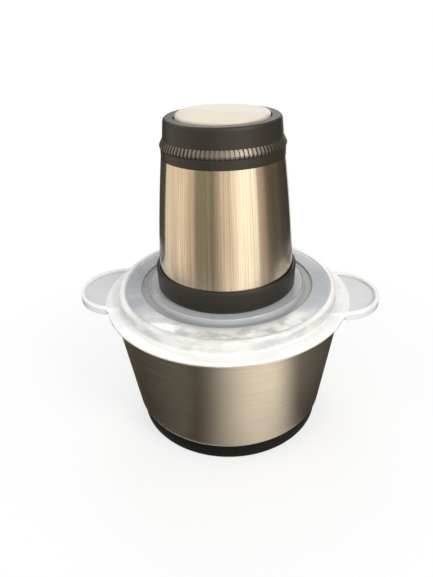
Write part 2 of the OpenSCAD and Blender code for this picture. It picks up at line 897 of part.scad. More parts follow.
// Lug with a screw hole, joined to a round part of radius r
module lugs(z0, z1, r) {
    difference() {
        union() {
            at_lugs()
                rod(lug_r, z0, z1);
            for (a = [45 : 90 : 315])
                rotate(a)
                    translate([r - 4, -lug_r, z0])
                        cube([lug_orbit - r + 4, 2 * lug_r, z1 - z0]);
        }
        at_lugs()
            rod(gear_screw_r + seat_gap, z0 - slop, z1 + slop);
    }
}

// Lower half of the gearbox, with the neck that holds the bearing and seal
module gearbox_cover() {
    color("slategray")
        difference() {
            union() {
                rotate_extrude()
                    polygon([
                        [seal_out_r + seat_gap, neck_z], [neck_r, neck_z], [neck_r, cover_z],
                        [housing_r + 1, cover_z], [housing_r + 1, housing_z],
                        [bearing_out_r + seat_gap, housing_z], [bearing_out_r + seat_gap, out_bearing_z],
                        [output_r + 4, out_bearing_z], [output_r + 4, neck_z + seal_height + 0.3],
                        [seal_out_r + seat_gap, neck_z + seal_height + 0.3]
                    ]);
                lugs(cover_z, housing_z, housing_r);
            }
        }
}

// Upper half of the gearbox, with the fixed ring of internal teeth
module gear_housing() {
    tip = ring_pitch_r - addendum;
    root = ring_pitch_r + dedendum;
    phase = planet_teeth % 2 == 0 ? 180 / ring_teeth : 0;
    color("slategray") {
        translate([0, 0, housing_z])
            linear_extrude(roof_z - housing_z)
                difference() {
                    circle(r = housing_r);
                    rotate(phase)
                        polygon(gear_outline(ring_teeth, tip, root, tooth_half(ring_teeth, backlash)));
                }
        tube(housing_r, sun_pitch_r + addendum + 3.5, roof_z, bracket_z);
        lugs(housing_z, bracket_z, housing_r);
    }
}

// Ball bearing drawn as two races, a cage of balls and thin shields
module ball_bearing(r_out, r_in, z, h) {
    race = (r_out - r_in) * 0.26;
    mid = (r_out + r_in) / 2;
    ball = (r_out - r_in) / 2 - race + 0.35;
    count = floor(PI * mid / ball * 0.75);
    tube(r_out, r_out - race, z, z + h);
    tube(r_in + race, r_in, z, z + h);
    tube(r_out - race + 0.2, r_in + race - 0.2, z + h * 0.42, z + h * 0.58);
    for (i = [0 : count - 1])
        rotate(360 * i / count)
            translate([mid, 0, z + h / 2])
                sphere(r = ball, $fn = 16);
}

module output_bearing() {
    color("gainsboro")
        ball_bearing(bearing_out_r, output_r + seat_gap, out_bearing_z, out_bearing_h);
}

// Lip seal that keeps food out of the gearbox
module shaft_seal() {
    color("black")
        rotate_extrude()
            polygon([
                [output_r + 0.3, neck_z], [output_r + 1.6, neck_z], [output_r + 2, neck_z + 2],
                [seal_out_r - 1.6, neck_z + 2], [seal_out_r - 1.6, neck_z],
                [seal_out_r, neck_z], [seal_out_r, neck_z + seal_height],
                [output_r + 1.2, neck_z + seal_height], [output_r + 0.3, neck_z + 1.2]
            ]);
}

// Pan-head screw with its head under z0
module screw_up(r, z0, z1) {
    rod(r, z0 - slop, z1);
    translate([0, 0, z0 - 2.2])
        difference() {
            cylinder(r1 = r * 1.7, r2 = r * 1.9, h = 2.2);
            translate([0, 0, -slop])
                cylinder(r = r * 0.8, h = 1.5 + slop, $fn = 6);
        }
}

module gearbox_screws() {
    color("silver")
        at_lugs()
            screw_up(gear_screw_r, base_floor_z, bracket_z + bracket_plate);
}

// Long rods that tie the base, the sleeve and the cap together
module tie_rods() {
    color("silver")
        at_rods()
            screw_up(rod_r, base_floor_z, switch_z + 7);
}

// Outline shared by the laminations and the brackets
module core_outline(inset) {
    flat_x = core_half_x - core_round;
    flat_y = core_half_y - core_round;
    square([2 * (core_half_x - inset), 2 * flat_y], center = true);
    square([2 * flat_x, 2 * (core_half_y - inset)], center = true);
    for (sx = [-1, 1])
        for (sy = [-1, 1])
            translate([sx * flat_x, sy * flat_y])
                circle(r = core_round - inset);
}

// Cast bracket on the gearbox that holds the lower bearing and the laminations
module lower_bracket() {
    color("gray")
        difference() {
            union() {
                translate([0, 0, bracket_z])
                    linear_extrude(bracket_plate)
                        core_outline(0);
                lugs(bracket_z, bracket_z + bracket_plate, core_half_x);
                rod(low_bearing_r + 2, bracket_z, low_boss_z);
                at_posts()
                    rod(post_r, bracket_z, stack_z);
            }
            rod(low_bearing_r + seat_gap, low_bearing_z, low_boss_z + slop);
            rod(shaft_r + 3, bracket_z - slop, low_bearing_z + slop);
            at_lugs()
                rod(gear_screw_r + seat_gap, bracket_z - slop, bracket_z + bracket_plate + slop);
            at_posts()
                rod(motor_screw_r + seat_gap, bracket_z + 8, stack_z + slop);
        }
}

module lower_bearing() {
    color("gainsboro")
        ball_bearing(low_bearing_r, shaft_r + seat_gap, low_bearing_z, low_bearing_h);
}

// Two curved slots that the coils pass through, one on each side of the poles
module coil_slots() {
    difference() {
        circle(r = slot_r);
        circle(r = core_bore_r + 1.8);
        for (side = [-1, 1])
            translate([0, side * slot_r])
                square([pole_width, slot_r * 2 - 8], center = true);
    }
}

module stator_core() {
    color("darkgray")
        translate([0, 0, stack_z])
            linear_extrude(stack_height)
                difference() {
                    core_outline(0);
                    circle(r = core_bore_r);
                    coil_slots();
                    for (side = [-1, 1])
                        translate([side * (core_bore_r + 1), 0])
                            square([4, 5], center = true);
                    at_posts()
                        circle(r = motor_screw_r + seat_gap);
                }
}

// Copper coils: straight runs in the slots, joined over the poles
module field_coils() {
    low = stack_z - coil_over;
    high = stack_top_z + coil_over;
    in_r = core_bore_r + 2.2;
    out_r = slot_r - 0.4;
    color("peru")
        for (side = [0, 180])
            rotate(side)
                difference() {
                    rotate([0, 0, 10])
                        rotate_extrude(angle = 160)
                            translate([in_r, low])
                                square([out_r - in_r, high - low]);
                    translate([-pole_width / 2 - 0.4, 0, stack_z - 0.2])
                        cube([pole_width + 0.8, slot_r + 5, stack_height + 0.4]);
                }
}

// Long screws that clamp the laminations between the two brackets
module motor_screws() {
    color("silver")
        at_posts() {
            rod(motor_screw_r, bracket_z + 9, upper_plate_z + upper_plate + slop);
            rod(motor_screw_r * 1.9, upper_plate_z + upper_plate, upper_plate_z + upper_plate + 2.2);
        }
}

// Cast bracket over the commutator that holds the upper bearing and the brushes
module upper_bracket() {
    color("gray")
        difference() {
            union() {
                translate([0, 0, upper_plate_z])
                    linear_extrude(upper_plate)
                        core_outline(0);
                rod(up_boss_r, upper_plate_z, up_boss_z);
                at_posts()
                    rod(post_r, stack_top_z, upper_plate_z + slop);
            }
            rod(up_bearing_r + seat_gap, upper_plate_z - slop, up_bearing_z + up_bearing_h);
            at_posts()
                rod(motor_screw_r + seat_gap, stack_top_z - slop, upper_plate_z + upper_plate + slop);
            for (side = [-1, 1])
                translate([-9, side * 21 - 4, upper_plate_z - slop])
                    cube([18, 8, upper_plate + 2 * slop]);
        }
}

module upper_bearing() {
    color("gainsboro")
        ball_bearing(up_bearing_r, shaft_r + seat_gap, up_bearing_z, up_bearing_h);
}

// Copies on both sides of the commutator
module at_brushes() {
    for (side = [0, 180])
        rotate(side)
            children();
}

module brush_holders() {
    color("goldenrod")
        at_brushes()
            difference() {
                translate([commutator_r + 1.6, -5.5, commutator_z + 1])
                    cube([17, 11, upper_plate_z - commutator_z - 1]);
                translate([commutator_r, -3.6, commutator_z + 2.4])
                    cube([20, 7.2, 7.2]);
            }
}

module carbon_brushes() {
    color("black")
        at_brushes()
            difference() {
                translate([commutator_r - 1, -3.5, commutator_z + 2.5])
                    cube([15, 7, 7]);
                rod(commutator_r + face_gap, commutator_z, commutator_z + commutator_h);
            }
}

// Rubber ring between the motor's top and the switch frame
module rubber_mount() {
    color("black")
        tube(mount_out_r, up_boss_r + seat_gap, upper_plate_z + upper_plate, up_boss_z);
}

// Rubber gland where the mains lead enters, with its bore left open
module cord_gland() {
    skin_r = sleeve_r(gland_z);
    color("black")
        rotate(gland_angle)
            difference() {
                union() {
                    difference() {
                        gland_disc(gland_r + gland_rim, skin_r - 1, skin_r + 1.8);
                        translate([0, 0, gland_z - gland_span])
                            cylinder(
                                r1 = sleeve_r(gland_z - gland_span) + 2 * seat_gap,
                                r2 = sleeve_r(gland_z + gland_span) + 2 * seat_gap,
                                h = 2 * gland_span
                            );
                    }
                    gland_disc(gland_r, skin_r - 4, skin_r + 3);
                    gland_disc(gland_r + gland_rim, skin_r - 4, skin_r - sleeve_sheet - 1);
                    translate([skin_r + 1.6, 0, gland_z])
                        rotate([0, 90, 0])
                            cylinder(r1 = gland_r, r2 = gland_r - 1.3, h = 3.4);
                }
                gland_disc(cord_bore_r, skin_r - 5, skin_r + 6);
            }
}

// Disc across the gland's axis, between two distances from the motor's axis
module gland_disc(r, x0, x1) {
    translate([x0, 0, gland_z])
        rotate([0, 90, 0])
            cylinder(r = r, h = x1 - x0);
}

// Motor shaft, from the sun pinion to the upper bearing
module motor_shaft() {
    color("gainsboro")
        rod(shaft_r, gear_z + 0.3, up_bearing_z + up_bearing_h - 0.5);
}

// Slotted laminations with the windings bulging at both ends
module armature() {
    slots = 12;
    color("sienna")
        difference() {
            union() {
                rod(armature_r, stack_z, stack_top_z);
                rod(winding_r, stack_z - 4, stack_top_z + 4.5);
            }
            rod(shaft_r + seat_gap, stack_z - 5, stack_top_z + 6);
            for (i = [0 : slots - 1])
                rotate(360 * i / slots)
                    translate([winding_r + 0.4, -1, stack_z - slop])
                        cube([armature_r, 2, stack_height + 2 * slop]);
        }
}

// Copper commutator with grooves between its bars
module commutator() {
    bars = 24;
    color("chocolate")
        difference() {
            rod(commutator_r, commutator_z, commutator_z + commutator_h);
            rod(shaft_r + seat_gap, commutator_z - slop, commutator_z + commutator_h + slop);
            for (i = [0 : bars - 1])
                rotate(360 * i / bars)
                    translate([commutator_r - 0.8, -0.25, commutator_z + 1.5])
                        cube([2, 0.5, commutator_h]);
        }
}

// Radial fan that draws air over the motor
module cooling_fan() {
    vanes = 12;
    color("white")
        difference() {
            union() {
                rod(fan_r, fan_z, fan_z + 1.4);
                rod(shaft_r + 4, fan_z, fan_z + fan_height);
                for (i = [0 : vanes - 1])
                    rotate(360 * i / vanes)
                        translate([shaft_r + 8, 0, fan_z])
                            rotate(22)
                                cube([fan_r - shaft_r - 10, 1.2, fan_height]);
            }
            rod(shaft_r + seat_gap, fan_z - slop, fan_z + fan_height + slop);
        }
}

// Spur gear with its lower face at z0
module spur_gear(teeth, bore, turn, z0, z1) {
    pitch = teeth * tooth_module / 2;
    translate([0, 0, z0])
        rotate(turn)
            linear_extrude(z1 - z0)
                difference() {
                    polygon(gear_outline(
                        teeth, pitch - dedendum, pitch + addendum, tooth_half(teeth, -backlash)));
                    circle(r = bore);
                }
}

module sun_pinion() {
    color("gold")
        spur_gear(sun_teeth, shaft_r + seat_gap, 0, gear_z + 0.3, gear_z + gear_width);
}

// Planet number k, turned so that a gap faces the sun's tooth
module planet_gear(k) {
    phase = planet_teeth % 2 == 0 ? 180 / planet_teeth : 0;
    rotate(360 * k / planet_count)
        translate([orbit_r, 0, 0])
            spur_gear(planet_teeth, planet_pin_r + run_gap, phase, gear_z, gear_z + gear_width);
}

module planet_gear_1() {
    color("ivory")
        planet_gear(0);
}

module planet_gear_2() {
    color("ivory")
        planet_gear(1);
}

module planet_gear_3() {
    color("ivory")
        planet_gear(2);
}

// Copies at the three planets
module at_planets() {
    for (k = [0 : planet_count - 1])
        rotate(360 * k / planet_count)
            translate([orbit_r, 0, 0])
                children();
}

module planet_carrier() {
    color("gainsboro")
        difference() {
            union() {
                rod(carrier_r, carrier_z, carrier_z + carrier_plate);
                at_planets()
                    rod(planet_pin_r + 1.6, carrier_z, gear_z - 0.1);
            }
            rod(output_r - 2 + seat_gap, carrier_z - slop, carrier_z + carrier_plate + slop);
            at_planets()
                rod(planet_pin_r + seat_gap, carrier_z - slop, gear_z + slop);
        }
}

module planet_pins() {
    color("gainsboro")
        at_planets()
            rod(planet_pin_r, carrier_z + 0.2, gear_z + gear_width + 0.2);
}

// Output shaft: a step into the carrier above, a step into the coupling below
module output_shaft() {
    color("gainsboro")
        rotate_extrude()
            polygon([
                [0, coupling_z], [output_r - 2, coupling_z], [output_r - 2, neck_z - 0.6],
                [output_r, neck_z - 0.6], [output_r, carrier_z - seat_gap],
                [output_r - 2, carrier_z - seat_gap], [output_r - 2, carrier_z + carrier_plate],
                [0, carrier_z + carrier_plate]
            ]);
}

// Hexagonal coupling that drops into the blade hub's socket
module drive_coupling() {
    color("gainsboro")
        difference() {
            intersection() {
                translate([0, 0, coupling_z])
                    cylinder(r = hex_r, h = neck_z - 0.6 - coupling_z, $fn = 6);
                translate([0, 0, coupling_z])
                    cylinder(r1 = hex_r - 1, r2 = hex_r + 6, h = neck_z - coupling_z);
            }
            rod(output_r - 2 + seat_gap, coupling_z - slop, neck_z);
        }
}

// Rocker button: a hollow disc with two gently sloping faces
module rocker_button() {
    top_z = cap_z + button_rise;
    edge_z = top_z - button_fall;
    color("ivory")
        difference() {
            union() {
                intersection() {
                    difference() {
                        rotate_extrude()
                            polygon(concat(
                                [[0, button_z], [button_r, button_z]],
                                arc(button_r - edge_round, edge_z - 1.2, edge_round, 0, 60, 4),
                                [[button_r - 4, top_z + 1], [0, top_z + 1]]
                            ));
                        rod(button_r - button_wall, button_z - slop, button_roof_z);
                    }
                    on_ridge()
                        rotate([90, 0, 90])
                            translate([0, 0, -button_r - 5])
                                linear_extrude(2 * button_r + 10)
                                    polygon([
                                        [-button_r, button_z - 1], [button_r, button_z - 1],
                                        [button_r, edge_z], [0, top_z], [-button_r, edge_z]
                                    ]);
                }
                on_ridge()
                    for (side = [-1, 1]) {
                        translate([side * lug_reach - lug_thick / 2, -lug_boss_r, rocker_z])
                            cube([lug_thick, 2 * lug_boss_r, button_roof_z - rocker_z + slop]);
                        translate([side * lug_reach - lug_thick / 2, 0, rocker_z])
                            rotate([0, 90, 0])
                                cylinder(r = lug_boss_r, h = lug_thick);
                        translate([0, side * plunger_arm, 0])
                            rod(pad_r, pad_z, button_roof_z + slop);
                    }
            }
            on_ridge()
                translate([-button_r, 0, rocker_z])
                    rotate([0, 90, 0])
                        cylinder(r = rocker_pin_r + run_gap, h = 2 * button_r);
        }
}

// Plunger with a collar for its spring
module plunger(side) {
    on_ridge()
        translate([0, side * plunger_arm, 0])
            rotate_extrude()
                polygon([
                    [0, plunger_low_z], [plunger_r - 0.5, plunger_low_z],
                    [plunger_r, plunger_low_z + 0.5], [plunger_r, collar_z],
                    [collar_r, collar_z], [collar_r, collar_z + 1], [plunger_r, collar_z + 1],
                    [plunger_r - 1, plunger_top_z], [0, plunger_top_z]
                ]);
}

module plunger_low() {
    color("white")
        plunger(-1);
}

module plunger_high() {
    color("white")
        plunger(1);
}

// Coil spring under the collar of a plunger
module spring(side) {
    turns = 4;
    steps = 14;
    low = recess_z + wire_r + 0.05;
    high = collar_z - wire_r - 0.05;
    on_ridge()
        translate([0, side * plunger_arm, 0])
            skin([for (i = [0 : turns * steps])
                let (a = 360 * i / steps, z = low + (high - low) * i / (turns * steps))
                [for (b = [0 : 60 : 300])
                    let (r = spring_r + wire_r * cos(b))
                    [r * cos(a), r * sin(a), z + wire_r * sin(b)]]]);
}

module spring_low() {
    color("silver")
        spring(-1);
}

module spring_high() {
    color("silver")
        spring(1);
}

bowl();
bowl_pin();
foot_ring();
lid();
lid_seal();
blade_hub();
hub_bush();
lower_blade();
blade_spacer();
upper_blade();
blade_nut();
base_cup();
steel_sleeve();
grip_ring();
top_cap();
switch_frame();
switch_low();
switch_high();
rocker_pin();
gearbox_cover();
gear_housing();
output_bearing();
shaft_seal();
gearbox_screws();
lower_bracket();
lower_bearing();
stator_core();
field_coils();
motor_screws();
upper_bracket();
upper_bearing();
brush_holders();
carbon_brushes();
rubber_mount();
tie_rods();
cord_gland();
motor_shaft();
armature();
commutator();
cooling_fan();
sun_pinion();
planet_carrier();
planet_pins();
output_shaft();
drive_coupling();
planet_gear_1();
planet_gear_2();
planet_gear_3();
rocker_button();
plunger_low();
plunger_high();
spring_low();
spring_high();
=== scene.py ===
import json
import math

import bpy
from mathutils import Matrix, Vector


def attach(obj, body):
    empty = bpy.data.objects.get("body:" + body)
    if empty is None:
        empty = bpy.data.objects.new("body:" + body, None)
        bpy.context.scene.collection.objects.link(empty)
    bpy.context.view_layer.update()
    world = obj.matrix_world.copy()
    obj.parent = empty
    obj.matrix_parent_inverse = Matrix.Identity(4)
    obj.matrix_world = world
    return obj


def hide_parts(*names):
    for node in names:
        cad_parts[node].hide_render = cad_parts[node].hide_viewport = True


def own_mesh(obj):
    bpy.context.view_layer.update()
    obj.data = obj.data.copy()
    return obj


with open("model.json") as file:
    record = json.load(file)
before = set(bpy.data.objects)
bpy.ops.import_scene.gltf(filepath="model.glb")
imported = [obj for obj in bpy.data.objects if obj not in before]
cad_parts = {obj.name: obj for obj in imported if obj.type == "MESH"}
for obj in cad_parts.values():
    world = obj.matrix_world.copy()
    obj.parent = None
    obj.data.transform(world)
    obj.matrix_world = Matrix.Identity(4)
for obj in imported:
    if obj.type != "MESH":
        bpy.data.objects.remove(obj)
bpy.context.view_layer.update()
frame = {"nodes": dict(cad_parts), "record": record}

# Lengths are metres, in the frame of the CAD part. Angles are degrees. Colours are linear.
# An azimuth goes round the Z axis: 0 is in front of the object, 90 at +X.

# Camera, fitted to the photo
IMAGE_LONG = 577                 # pixels on the picture's long side
SENSOR_MM = 36.0
FOCAL_PIXELS = 500.0
CAMERA_PLACE = (0.0342, -0.3842, 0.3427)
CAMERA_YAW = -6.43               # from +Y towards +X
CAMERA_PITCH = 29.81             # below level
CAMERA_ROLL = -2.13

# Lid: where its colour changes, by radius, by height and by azimuth; much of that colour is painted
# highlight and painted shade
PLATFORM_EDGE = (0.0674, 0.0684)
# the groove between these radii is darkened: painted shade
GROOVE = (0.0680, 0.0690, 0.0735, 0.0750)
PAINTED_HIGHLIGHT_INNER = (0.0715, 0.0800)  # the deck's painted highlight at the front starts here
DECK_EDGE = (0.0878, 0.0896)
WALL_INNER = (0.0905, 0.0925)
EAR_START = (0.1056, 0.1066)
# below these heights the lip is tinted tan: painted shade
UNDERSIDE_Z = (0.1173, 0.1181)
# below these heights the ears' recess is grey: painted shade
EAR_LIP_Z = (0.1188, 0.1204)
# the wall, and at the front the crest, are greyed from these heights: painted shade of the bowl seen
# through
CREST_Z = (0.1200, 0.1230)
WALL_Z = (0.1200, 0.1230, 0.1275, 0.1305)
PAINTED_HIGHLIGHT_END = (28.0, 66.0)        # the painted front highlight ends between these azimuths
PAINTED_BACK_LIGHT = (95.0, 135.0)        # and the deck's grey, painted shade of the bowl seen through, turns lighter at the back between these: painted light
AZIMUTH_WANDER = 22.0            # how far both limits wander to either side

# Other finishes
SLEEVE_RADIUS = 0.055            # upright brush lines are counted at this radius
GLOSS_TURN = 0.25                # anisotropic rotation: a quarter turn off the way round the axis
SHEET_PITCH = 0.0005             # laminations
WIRE_PITCH = 0.0007              # coils

# Stage
FLOOR_HALF = 12.0
FLOOR_Z = -0.0002
SHADOW_KEPT = (0.10, 0.33)       # the floor turns plain white between these radii
CARD_FLOOR_Z = 0.0006
CARD_FLOOR_RADII = (0.088, 0.40)
CARD_FLOOR_TINT = Vector((1.0, 0.965, 0.90))
FOOT_SHADOW_RADII = (0.100, 0.150)       # the floor cards' glow rises to its full strength between these radii: a painted shadow round the foot, which the steel mirrors
FOOT_SHADOW_STRENGTH = 0.72             # what it starts from in front and behind
SIDE_LOSS = 0.40                 # how much less it starts from at the sides
SIDES = (28.0, 58.0, 100.0, 130.0)
LIT_POINT = (0, 0, 0.12)

# A Mix node has sockets of the same name for each kind of value. These are the ones for colours.
MIX_FIRST, MIX_SECOND, MIX_RESULT = 6, 7, 2


class Graph:
    """One material: a Principled shader and the nodes that feed it."""

    def __init__(self, name):
        self.material = bpy.data.materials.new(name)
        self.material.use_nodes = True
        self.tree = self.material.node_tree
        self.tree.nodes.clear()
        self.shader = self.add("ShaderNodeBsdfPrincipled")
        self.output = self.add("ShaderNodeOutputMaterial")
        self.tree.links.new(self.shader.outputs["BSDF"], self.output.inputs["Surface"])
        self.place = self.add("ShaderNodeTexCoord").outputs["Object"]

    def add(self, kind, **settings):
        node = self.tree.nodes.new(kind)
        for key, value in settings.items():
            setattr(node, key, value)
        return node

    def feed(self, socket, value):
        """Links a socket, or sets a number, vector or colour."""
        if isinstance(value, bpy.types.NodeSocket):
            self.tree.links.new(value, socket)
        else:
            socket.default_value = value

    def set(self, **values):
        """Feeds the shader's sockets: roughness=0.3 is the socket Roughness."""
        for key, value in values.items():
            name = key.replace("_", " ").title().replace("Ior", "IOR")
            self.feed(self.shader.inputs[name], value)

    def vector(self, operation, first, second=None):
        node = self.add("ShaderNodeVectorMath", operation=operation)
        self.feed(node.inputs[0], first)
        if second is not None:
            self.feed(node.inputs[1], second)
        return node.outputs[0]

    def stretch(self, scale):
        """The object's own coordinates, scaled along X, Y and Z."""
        return self.vector("MULTIPLY", self.place, scale)

    def ring_place(self, radial, upright):
        """Coordinates that change with the radius and the height only."""
        joined = self.add("ShaderNodeCombineXYZ")
        self.feed(joined.inputs[0], self.math("MULTIPLY", self.radius(), radial))
        self.feed(joined.inputs[2], self.math("MULTIPLY", self.height(), upright))
        return joined.outputs[0]

    def spoke_place(self, around, upright):
        """Coordinates that change with the direction from the axis, and with the height."""
        direction = self.vector("NORMALIZE", self.stretch((1, 1, 0)))
        wide = self.vector("MULTIPLY", direction, (around, around, 0))
        return self.vector("ADD", wide, self.stretch((0, 0, upright)))

    def radius(self):
        """Distance from the Z axis."""
        size = self.add("ShaderNodeVectorMath", operation="LENGTH")
        self.feed(size.inputs[0], self.stretch((1, 1, 0)))
        return size.outputs["Value"]

    def azimuth(self):
        split = self.add("ShaderNodeSeparateXYZ")
        self.feed(split.inputs[0], self.place)
        front = self.math("MULTIPLY", split.outputs[1], -1.0)
        turn = self.math("ARCTAN2", split.outputs[0], front)
        return self.math("MULTIPLY", turn, 180.0 / math.pi)

    def height(self):
        split = self.add("ShaderNodeSeparateXYZ")
        self.feed(split.inputs[0], self.place)
        return split.outputs[2]

    def noise(self, place, scale=1.0, detail=3.0, rough=0.5):
        node = self.add("ShaderNodeTexNoise")
        self.feed(node.inputs["Vector"], place)
        node.inputs["Scale"].default_value = scale
        node.inputs["Detail"].default_value = detail
        node.inputs["Roughness"].default_value = rough
        return node.outputs["Fac"]

    def math(self, operation, first, second=0.0):
        node = self.add("ShaderNodeMath", operation=operation)
        self.feed(node.inputs[0], first)
        self.feed(node.inputs[1], second)
        return node.outputs[0]

    def span(self, value, low, high, to_low=0.0, to_high=1.0, kind="LINEAR"):
        """Maps value from low..high to to_low..to_high, clamped."""
        node = self.add("ShaderNodeMapRange", interpolation_type=kind)
        self.feed(node.inputs["Value"], value)
        node.inputs["From Min"].default_value = low
        node.inputs["From Max"].default_value = high
        node.inputs["To Min"].default_value = to_low
        node.inputs["To Max"].default_value = to_high
        return node.outputs["Result"]

    def band(self, value, low_out, low_in, high_in, high_out):
        """1 between the inner limits and 0 outside the outer ones."""
        rise = self.span(value, low_out, low_in)
        fall = self.span(value, high_in, high_out, 1.0, 0.0)
        return self.math("MULTIPLY", rise, fall)

    def blend(self, share, first, second):
        """A colour between two, by share."""
        node = self.add("ShaderNodeMix", data_type="RGBA")
        self.feed(node.inputs["Factor"], share)
        for socket, colour in ((MIX_FIRST, first), (MIX_SECOND, second)):
            self.feed(node.inputs[socket], (*colour, 1) if isinstance(colour, tuple) else colour)
        return node.outputs[MIX_RESULT]

    def mottle(self, noise, first, second):
        """A colour that a noise takes from first to second."""
        return self.blend(self.span(noise, 0.3, 0.7), first, second)

    def bump(self, height, strength, distance):
        node = self.add("ShaderNodeBump")
        self.feed(node.inputs["Height"], height)
        node.inputs["Strength"].default_value = strength
        node.inputs["Distance"].default_value = distance
        self.set(normal=node.outputs["Normal"])


def tint(colour, factor):
    return tuple(min(1.0, c * factor) for c in colour)


def brushed_metal(name, colour, fine, broad, roughness, anisotropy, upright=False, contrast=0.12):
    """Metal with brush lines: upright along Z, or running round the axis."""
    g = Graph(name)
    if upright:
        thin = g.noise(g.spoke_place(fine * SLEEVE_RADIUS, 14.0), detail=4.0, rough=0.6)
        wide = g.noise(g.spoke_place(broad * SLEEVE_RADIUS, 3.0), detail=3.0, rough=0.6)
    else:
        thin = g.noise(g.ring_place(fine, fine), detail=4.0, rough=0.6)
        wide = g.noise(g.stretch((broad * 0.04, broad * 0.04, broad)), detail=3.0, rough=0.5)
    stains = g.noise(g.place, scale=18.0, detail=2.0)
    lines = g.math("ADD", g.math("MULTIPLY", thin, 0.45), g.math("MULTIPLY", wide, 0.55))
    share = g.span(lines, 0.38, 0.62)
    lined = g.blend(share, tint(colour, 1 - contrast), tint(colour, 1 + contrast))
    stained = g.blend(g.span(stains, 0.35, 0.75, 0.0, 0.5), lined, tint(colour, 0.80))
    tangent = g.add("ShaderNodeTangent", direction_type="RADIAL", axis="Z")
    g.set(base_color=stained, metallic=1.0, tangent=tangent.outputs["Tangent"])
    g.set(anisotropic=anisotropy, anisotropic_rotation=GLOSS_TURN)
    g.set(roughness=g.span(share, 0.0, 1.0, roughness * 1.15, roughness * 0.85))
    g.bump(lines, 0.08, 0.00004)
    return g.material


def turned_metal(name, colour, roughness=0.28):
    return brushed_metal(name, colour, 5200.0, 900.0, roughness, 0.5, contrast=0.08)


def moulded(name, colour, roughness, grain=0.12, mottle=0.10, wear=1.25, gloss=0.5, metal=0.0):
    """Moulded plastic or rubber: fine grain, faint clouds and lighter rubbed spots."""
    g = Graph(name)
    cloud = g.noise(g.place, scale=22.0, detail=3.0)
    grit = g.noise(g.place, scale=2600.0, detail=2.0, rough=0.6)
    rub = g.noise(g.stretch((90.0, 90.0, 240.0)), detail=4.0, rough=0.7)
    base = g.mottle(cloud, tint(colour, 1 - mottle), tint(colour, 1 + mottle))
    worn = g.blend(g.span(rub, 0.58, 0.8, 0.0, 0.5), base, tint(colour, wear))
    g.set(base_color=worn, metallic=metal, specular_ior_level=gloss)
    g.set(roughness=g.span(grit, 0.25, 0.75, roughness * 0.88, roughness * 1.12))
    g.bump(grit, grain, 0.00005)
    return g.material


def front_highlight_share(g, off_front):
    """Share of the lid's painted highlight at the front."""
    ahead = g.span(off_front, *PAINTED_HIGHLIGHT_END, 1.0, 0.0)
    return g.math("MULTIPLY", ahead, g.span(g.radius(), *PAINTED_HIGHLIGHT_INNER))


def lid_deck(g, cloud, off_front, ahead):
    """Colour of the deck, its groove and the platform: grey, the plastic's cool tint with painted shade
    of the dark bowl seen through, lighter at the back as painted light, with painted reflections over
    the front and painted shade in the groove.
    """
    # painted shade: the dark bowl seen through the deck, over the plastic's cool tint
    grey = g.mottle(cloud, (0.42, 0.455, 0.49), (0.48, 0.51, 0.54))
    # lighter towards the back: painted light
    deck = g.blend(g.span(off_front, *PAINTED_BACK_LIGHT, 0.0, 0.65), grey, (0.66, 0.67, 0.67))
    # painted reflections: bright spots over the deck at the front
    reflection_spots = g.span(g.noise(g.stretch((58.0, 110.0, 80.0)), detail=3.0), 0.43, 0.56)
    painted_reflections = g.blend(reflection_spots, (0.63, 0.65, 0.66), (0.96, 0.945, 0.905))
    # laid on where the painted front highlight lies
    deck = g.blend(ahead, deck, painted_reflections)
    platform = g.span(g.radius(), *PLATFORM_EDGE, 0.7, 0.0)
    deck = g.blend(platform, deck, (0.56, 0.57, 0.56))
    # painted shade in the groove
    groove = g.math("MULTIPLY", g.band(g.radius(), *GROOVE), 0.85)
    return g.blend(groove, deck, (0.33, 0.335, 0.32))


def lid_edge(g, cloud, ahead):
    """Colour of the wall, crest, flange and ears: white, with painted shade of the dark bowl seen
    through the thin plastic on the wall and, at the front, on the crest; painted shade under the lip
    and in the ears' recess.
    """
    white = g.mottle(cloud, (0.93, 0.94, 0.93), (0.97, 0.97, 0.96))
    # painted shade: the dark bowl seen through the thin wall
    wall = g.math("MULTIPLY", g.band(g.height(), *WALL_Z), g.span(g.radius(), *WALL_INNER))
    # the same painted shade on the crest, at the front only
    crest = g.math("MULTIPLY", g.math("MULTIPLY", ahead, 0.75), g.span(g.height(), *CREST_Z))
    cast = g.span(g.noise(g.stretch((60.0, 60.0, 150.0)), detail=2.0), 0.40, 0.60)
    thin = g.blend(cast, (0.56, 0.57, 0.56), (0.76, 0.75, 0.71))
    edge = g.blend(g.math("MAXIMUM", wall, crest), white, thin)
    # painted shade: tan below the lip
    under_lip_shade = g.span(g.height(), *UNDERSIDE_Z, 0.85, 0.0)
    edge = g.blend(under_lip_shade, edge, (0.46, 0.41, 0.33))
    # painted shade: the ears' recess grey below their white lips
    ear_with_shaded_recess = g.blend(g.span(g.height(), *EAR_LIP_Z), (0.68, 0.70, 0.71), (0.94, 0.94, 0.93))
    return g.blend(g.span(g.radius(), *EAR_START), edge, ear_with_shaded_recess)


